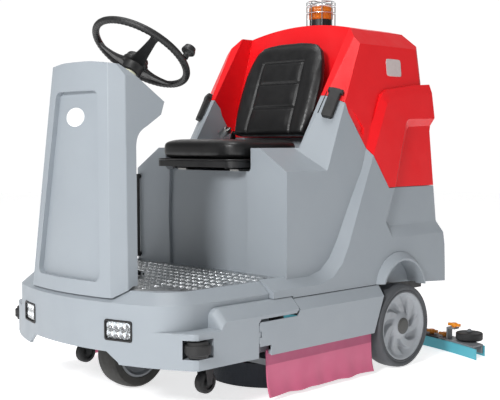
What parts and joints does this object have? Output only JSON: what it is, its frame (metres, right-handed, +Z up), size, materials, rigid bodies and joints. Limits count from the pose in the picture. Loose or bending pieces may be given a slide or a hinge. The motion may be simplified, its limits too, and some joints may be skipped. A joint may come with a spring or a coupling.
{
  "type": "ride-on scrubber dryer",
  "caption": "Ride-on floor scrubber dryer: grey body with red recovery tank, console with steering wheel, driver seat, tread-plate step, scrub deck and rear squeegee.",
  "frame": {"origin": "on the floor, below the middle of the machine's overall box", "axes": "+Z up; the machine faces -Y; X = 0 is its plane of symmetry and the driver's left is +X"},
  "size_m": [1.248, 1.6559, 1.404],
  "materials": {
    "amber_lens": "amber ribbed polycarbonate",
    "battery_case": "black battery cases",
    "black_plastic": "moulded black plastic, fine texture",
    "black_rubber": "black moulded rubber",
    "bright_steel": "bright steel",
    "bristle": "blue polypropylene bristle ring on a block",
    "checker_plate": "rolled aluminium tread plate",
    "chrome": "chrome plate",
    "dark_cover": "moulded dark grey cover",
    "grey_plastic": "rotational-moulded polyethylene, light grey-blue, soft sheen",
    "lamp_lens": "clear polycarbonate",
    "orange_plastic": "orange moulded knob",
    "pink_rubber": "rose-pink linatex-type rubber sheet",
    "red_button": "red mushroom button",
    "red_plastic": "rotational-moulded polyethylene, bright red",
    "seat_vinyl": "black seat vinyl with fine grain",
    "steel_black": "black powder coat",
    "steel_grey": "dark grey powder coat",
    "teal_rubber": "blue-green blade rubber",
    "tyre_rubber": "solid dark grey rubber",
    "wheel_hub": "moulded mid grey wheel centre"
  },
  "bodies": {
    "machine": {"chassis_frame": "steel_black", "front_fairing": "grey_plastic", "footplate": "checker_plate", "footplate_screws": "steel_black", "headlight_bezels": "black_plastic", "headlight_lenses": "lamp_lens", "console_shell": "grey_plastic", "console_rear_cover": "dark_cover", "dash_panel": "black_plastic", "steering_column": "black_plastic", "solution_tank": "grey_plastic", "seat_runners": "bright_steel", "battery_pack": "battery_case", "sight_tube": "black_rubber", "rear_axle": "steel_black"},
    "steering": {"steering_wheel": "black_plastic", "steering_shaft": "steel_black"},
    "spinner": {"spinner_knob": "black_plastic"},
    "turret": {"drive_fork": "steel_black"},
    "drive_wheel": {"drive_wheel_hub": "steel_grey", "drive_tyre": "tyre_rubber"},
    "rear_wheel_left": {"rear_wheel_hub_left": "wheel_hub", "rear_tyre_left": "tyre_rubber"},
    "rear_wheel_right": {"rear_wheel_hub_right": "wheel_hub", "rear_tyre_right": "tyre_rubber"},
    "castor_left": {"caster_wheel_left": "black_rubber"},
    "castor_right": {"caster_wheel_right": "black_rubber"},
    "bumper_left": {"bumper_roller_left": "black_rubber"},
    "bumper_right": {"bumper_roller_right": "black_rubber"},
    "accelerator": {"accelerator_pedal": "black_rubber"},
    "brake": {"brake_pedal": "black_rubber"},
    "key": {"key_switch": "bright_steel"},
    "stop_button": {"emergency_stop": "red_button"},
    "horn": {"horn_button": "black_rubber"},
    "seat": {"seat_pan": "black_plastic", "seat_cushion": "seat_vinyl"},
    "backrest": {"seat_backrest": "seat_vinyl"},
    "recliner": {"backrest_knob": "bright_steel"},
    "tank_lid": {"recovery_tank": "red_plastic", "beacon_base": "black_plastic", "beacon_lens": "amber_lens", "beacon_guard": "chrome", "vacuum_motor": "black_plastic"},
    "latch_l": {"latch_left": "black_rubber"},
    "latch_r": {"latch_right": "black_rubber"},
    "cover_l": {"side_cover_left": "grey_plastic", "splash_skirt_left": "pink_rubber"},
    "cover_r": {"side_cover_right": "grey_plastic", "splash_skirt_right": "pink_rubber"},
    "deck": {"brush_deck": "steel_grey", "brush_motors": "steel_black"},
    "brush_l": {"disc_brush_left": "bristle"},
    "brush_r": {"disc_brush_right": "bristle"},
    "squeegee_lift": {"squeegee_arm": "steel_grey"},
    "squeegee": {"squeegee_body": "steel_black", "squeegee_ends": "steel_grey", "squeegee_blades": "teal_rubber", "wing_knobs": "orange_plastic"},
    "sq_roller_l": {"squeegee_roller_left": "black_rubber"},
    "sq_roller_r": {"squeegee_roller_right": "black_rubber"}
  },
  "joints": [
    {"name": "steering_turn", "type": "hinge", "parent": "machine", "child": "steering", "pos_m": [0, -0.501, 1.14], "axis": [0, 0.5807, 0.8141], "range_deg": [-510, 510]},
    {"name": "spinner_spin", "type": "hinge", "parent": "steering", "child": "spinner", "pos_m": [0.16163, -0.44556, 1.11642], "axis": [0, 0.5807, 0.8141], "continuous": true},
    {"name": "turret_steer", "type": "hinge", "parent": "machine", "child": "turret", "pos_m": [0, -0.546, 0.3], "axis": [0, 0, 1], "range_deg": [-86, 86]},
    {"name": "drive_spin", "type": "hinge", "parent": "turret", "child": "drive_wheel", "pos_m": [0, -0.546, 0.122], "axis": [1, 0, 0], "continuous": true},
    {"name": "rear_spin_left", "type": "hinge", "parent": "machine", "child": "rear_wheel_left", "pos_m": [0.452, 0.342, 0.155], "axis": [1, 0, 0], "continuous": true},
    {"name": "rear_spin_right", "type": "hinge", "parent": "machine", "child": "rear_wheel_right", "pos_m": [-0.452, 0.342, 0.155], "axis": [1, 0, 0], "continuous": true},
    {"name": "castor_spin_left", "type": "hinge", "parent": "machine", "child": "castor_left", "pos_m": [0.328, -0.508, 0.062], "axis": [1, 0, 0], "continuous": true},
    {"name": "castor_spin_right", "type": "hinge", "parent": "machine", "child": "castor_right", "pos_m": [-0.328, -0.508, 0.062], "axis": [1, 0, 0], "continuous": true},
    {"name": "bumper_spin_left", "type": "hinge", "parent": "machine", "child": "bumper_left", "pos_m": [0.471, -0.668, 0.213], "axis": [0, 0, 1], "continuous": true},
    {"name": "bumper_spin_right", "type": "hinge", "parent": "machine", "child": "bumper_right", "pos_m": [-0.471, -0.668, 0.213], "axis": [0, 0, 1], "continuous": true},
    {"name": "accelerator_press", "type": "hinge", "parent": "machine", "child": "accelerator", "pos_m": [-0.108, -0.512, 0.385], "axis": [1, 0, 0], "range_deg": [0, 16], "stiffness_Nm_per_rad": 4, "springref_deg": -22.92},
    {"name": "brake_press", "type": "hinge", "parent": "machine", "child": "brake", "pos_m": [-0.016, -0.512, 0.385], "axis": [1, 0, 0], "range_deg": [0, 16], "stiffness_Nm_per_rad": 4, "springref_deg": -22.92},
    {"name": "key_turn", "type": "hinge", "parent": "machine", "child": "key", "pos_m": [0.092, -0.6585, 1.0351], "axis": [0, 0.5807, 0.8141], "range_deg": [0, 90]},
    {"name": "stop_press", "type": "slide", "parent": "machine", "child": "stop_button", "axis": [0, -0.5807, -0.8141], "range_m": [0, 0.005], "stiffness_N_per_m": 600, "springref_m": -0.003},
    {"name": "horn_press", "type": "slide", "parent": "machine", "child": "horn", "axis": [0, -0.5807, -0.8141], "range_m": [0, 0.004], "stiffness_N_per_m": 500, "springref_m": -0.003},
    {"name": "seat_slide", "type": "slide", "parent": "machine", "child": "seat", "axis": [0, -1, 0], "range_m": [0, 0.08]},
    {"name": "backrest_tilt", "type": "hinge", "parent": "seat", "child": "backrest", "pos_m": [0, 0.136, 0.872], "axis": [1, 0, 0], "range_deg": [0, 15]},
    {"name": "recliner_turn", "type": "hinge", "parent": "backrest", "child": "recliner", "pos_m": [-0.2373, 0.118, 0.8752], "axis": [0.8829, 0, 0.4695], "range_deg": [-90, 90]},
    {"name": "tank_tip", "type": "hinge", "parent": "machine", "child": "tank_lid", "pos_m": [0, 0.646, 0.664], "axis": [1, 0, 0], "range_deg": [-60, 0]},
    {"name": "latch_open_l", "type": "hinge", "parent": "machine", "child": "latch_l", "pos_m": [0.33714, 0.07605, 0.92279], "axis": [0.8854, 0.4045, -0.229], "range_deg": [0, 80]},
    {"name": "latch_open_r", "type": "hinge", "parent": "machine", "child": "latch_r", "pos_m": [-0.33714, 0.07605, 0.92279], "axis": [0.8854, -0.4045, 0.229], "range_deg": [0, 80]},
    {"name": "cover_swing_l", "type": "hinge", "parent": "machine", "child": "cover_l", "pos_m": [0.486, -0.418, 0.225], "axis": [0, 0, -1], "range_deg": [0, 75]},
    {"name": "cover_swing_r", "type": "hinge", "parent": "machine", "child": "cover_r", "pos_m": [-0.486, -0.418, 0.225], "axis": [0, 0, 1], "range_deg": [0, 75]},
    {"name": "deck_lift", "type": "slide", "parent": "machine", "child": "deck", "axis": [0, 0, 1], "range_m": [0, 0.048]},
    {"name": "brush_spin_l", "type": "hinge", "parent": "deck", "child": "brush_l", "pos_m": [0.222, -0.1, 0.06], "axis": [0, 0, 1], "continuous": true},
    {"name": "brush_spin_r", "type": "hinge", "parent": "deck", "child": "brush_r", "pos_m": [-0.222, -0.1, 0.06], "axis": [0, 0, 1], "continuous": true},
    {"name": "squeegee_raise", "type": "hinge", "parent": "machine", "child": "squeegee_lift", "pos_m": [0, 0.59, 0.196], "axis": [1, 0, 0], "range_deg": [0, 15]},
    {"name": "squeegee_swing", "type": "hinge", "parent": "squeegee_lift", "child": "squeegee", "pos_m": [0, 0.79, 0.1], "axis": [0, 0, 1], "range_deg": [-10, 10]},
    {"name": "sq_roller_spin_l", "type": "hinge", "parent": "squeegee", "child": "sq_roller_l", "pos_m": [0.522, 0.735, 0.06], "axis": [0, 0, 1], "continuous": true},
    {"name": "sq_roller_spin_r", "type": "hinge", "parent": "squeegee", "child": "sq_roller_r", "pos_m": [-0.522, 0.735, 0.06], "axis": [0, 0, 1], "continuous": true}
  ],
  "couplings": [
    {"joint": "turret_steer", "follows": "steering_turn", "ratio": 0.16667},
    {"joint": "brush_spin_r", "follows": "brush_spin_l", "ratio": -1}
  ]
}
